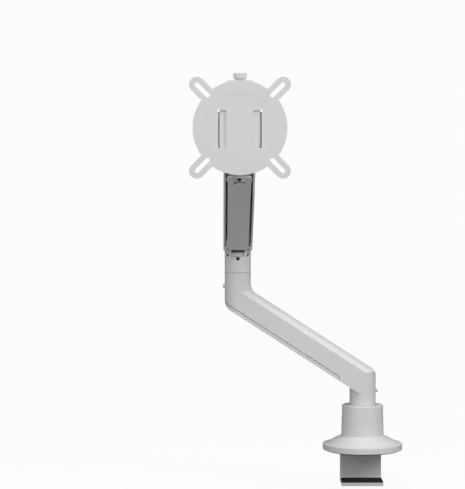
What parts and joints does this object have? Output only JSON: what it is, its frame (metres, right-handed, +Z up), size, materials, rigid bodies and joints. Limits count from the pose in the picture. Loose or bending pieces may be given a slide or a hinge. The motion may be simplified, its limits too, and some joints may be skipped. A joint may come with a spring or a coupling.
{
  "type": "monitor arm",
  "caption": "Desk-clamp monitor arm: swivelling angled lower arm, spring-balanced parallelogram upper arm, and a screen plate that pans, tilts and turns.",
  "frame": {"origin": "centre of the base's underside on the desk top, on the axis of the post", "axes": "+Z up along the post; -Y from the desk's back edge towards the user; the lower arm runs towards -X at rest"},
  "size_m": [0.2765, 0.3644, 0.5425],
  "materials": {
    "painted_casting": "satin light grey paint",
    "painted_steel": "satin light grey powder coat",
    "light_plastic": "fine matt texture",
    "black_rubber": "matt",
    "bush_plastic": "moulded dark grey",
    "black_steel": "black oxide",
    "spring_black": "semi-gloss black",
    "bright_steel": "ground and polished",
    "zinc_steel": "zinc plated"
  },
  "bodies": {
    "base": {"base_housing": "painted_casting", "base_plate": "zinc_steel", "base_pad": "black_rubber", "base_screws": "zinc_steel", "post_sleeve": "zinc_steel", "base_bush_upper": "bush_plastic", "base_bush_lower": "bush_plastic"},
    "jaw": {"clamp_bracket": "painted_steel", "jaw_pad": "black_rubber", "clamp_nut": "painted_steel"},
    "clamp_screw": {"clamp_screw": "black_steel"},
    "lower_arm": {"lower_arm": "painted_casting", "lower_cable_cover": "light_plastic", "base_spigot": "bright_steel", "spigot_washer": "zinc_steel", "spigot_screw": "zinc_steel", "neck_set_screw": "black_steel", "elbow_set_screw": "black_steel", "elbow_bush_upper": "bush_plastic", "elbow_bush_lower": "bush_plastic"},
    "elbow": {"elbow_knuckle": "painted_casting", "elbow_spigot": "bright_steel", "knuckle_screw": "black_steel", "elbow_link_pins": "bright_steel", "anchor_pin": "bright_steel", "anchor_roller": "bright_steel"},
    "upper_arm": {"upper_arm_casing": "painted_casting", "pivot_pins": "bright_steel", "pivot_bushes": "bush_plastic", "pivot_caps": "light_plastic", "gas_spring_cylinder": "spring_black", "gas_spring_pin": "bright_steel"},
    "gas_rod": {"gas_spring_rod": "bright_steel", "push_pad": "bush_plastic"},
    "link": {"lower_link": "painted_steel", "link_bushes": "bush_plastic", "upper_cable_cover": "light_plastic"},
    "head": {"head_knuckle": "painted_casting", "head_link_pins": "bright_steel", "pan_bush": "bush_plastic"},
    "tension_screw": {"tension_screw": "black_steel"},
    "pan": {"pan_yoke": "painted_casting", "pan_washer": "zinc_steel", "pan_screw": "zinc_steel", "tilt_bolt": "black_steel", "tilt_nut": "black_steel"},
    "tilt": {"tilt_block": "painted_casting", "tilt_washers": "bush_plastic", "turn_washer": "zinc_steel", "turn_screw": "zinc_steel"},
    "screen_mount": {"receiver": "painted_casting", "turn_bush": "bush_plastic", "screen_plate": "painted_steel"},
    "lock_knob": {"lock_knob": "light_plastic"}
  },
  "joints": [
    {"name": "jaw_slide", "type": "slide", "parent": "base", "child": "jaw", "axis": [0, 0, 1], "range_m": [-0.009, 0.03]},
    {"name": "clamp_screw_turn", "type": "hinge", "parent": "base", "child": "clamp_screw", "pos_m": [0, 0.0445, 0.00455], "axis": [0, 0, -1], "range_deg": [-2600, 8650]},
    {"name": "base_swivel", "type": "hinge", "parent": "base", "child": "lower_arm", "pos_m": [0, 0, 0], "axis": [0, 0, 1], "range_deg": [-180, 180]},
    {"name": "elbow_swivel", "type": "hinge", "parent": "lower_arm", "child": "elbow", "pos_m": [-0.165, 0, 0], "axis": [0, 0, 1], "range_deg": [-180, 180]},
    {"name": "arm_lift", "type": "hinge", "parent": "elbow", "child": "upper_arm", "pos_m": [-0.165, -0.004, 0.2835], "axis": [-1, 0, 0], "range_deg": [-60, 20]},
    {"name": "link_swing", "type": "hinge", "parent": "elbow", "child": "link", "pos_m": [-0.165, -0.004, 0.2645], "axis": [-1, 0, 0], "range_deg": [-60, 20]},
    {"name": "head_level", "type": "hinge", "parent": "upper_arm", "child": "head", "pos_m": [-0.165, -0.23873, 0.38314], "axis": [-1, 0, 0], "range_deg": [-20, 60]},
    {"name": "gas_rod_slide", "type": "slide", "parent": "upper_arm", "child": "gas_rod", "axis": [0, -0.9205, 0.3907], "range_m": [-0.004, 0.011]},
    {"name": "tension_screw_turn", "type": "hinge", "parent": "head", "child": "tension_screw", "pos_m": [-0.165, -0.23873, 0.36304], "axis": [0, -1, 0], "range_deg": [-720, 720]},
    {"name": "pan_swivel", "type": "hinge", "parent": "head", "child": "pan", "pos_m": [-0.165, -0.27503, 0], "axis": [0, 0, 1], "range_deg": [-90, 90]},
    {"name": "tilt", "type": "hinge", "parent": "pan", "child": "tilt", "pos_m": [-0.165, -0.27503, 0.4247], "axis": [-1, 0, 0], "range_deg": [-10, 70]},
    {"name": "screen_turn", "type": "hinge", "parent": "tilt", "child": "screen_mount", "pos_m": [-0.165, -0.27503, 0.4247], "axis": [0, -1, 0], "range_deg": [-90, 90]},
    {"name": "lock_knob_turn", "type": "hinge", "parent": "screen_mount", "child": "lock_knob", "pos_m": [-0.165, -0.30203, 0], "axis": [0, 0, 1], "range_deg": [-720, 720]}
  ],
  "couplings": [
    {"joint": "clamp_screw_turn", "follows": "jaw_slide", "rad_per_m": 5026.5},
    {"joint": "link_swing", "follows": "arm_lift", "ratio": 1},
    {"joint": "head_level", "follows": "arm_lift", "ratio": -1},
    {"joint": "gas_rod_slide", "follows": "arm_lift", "m_per_rad": -0.00937}
  ]
}
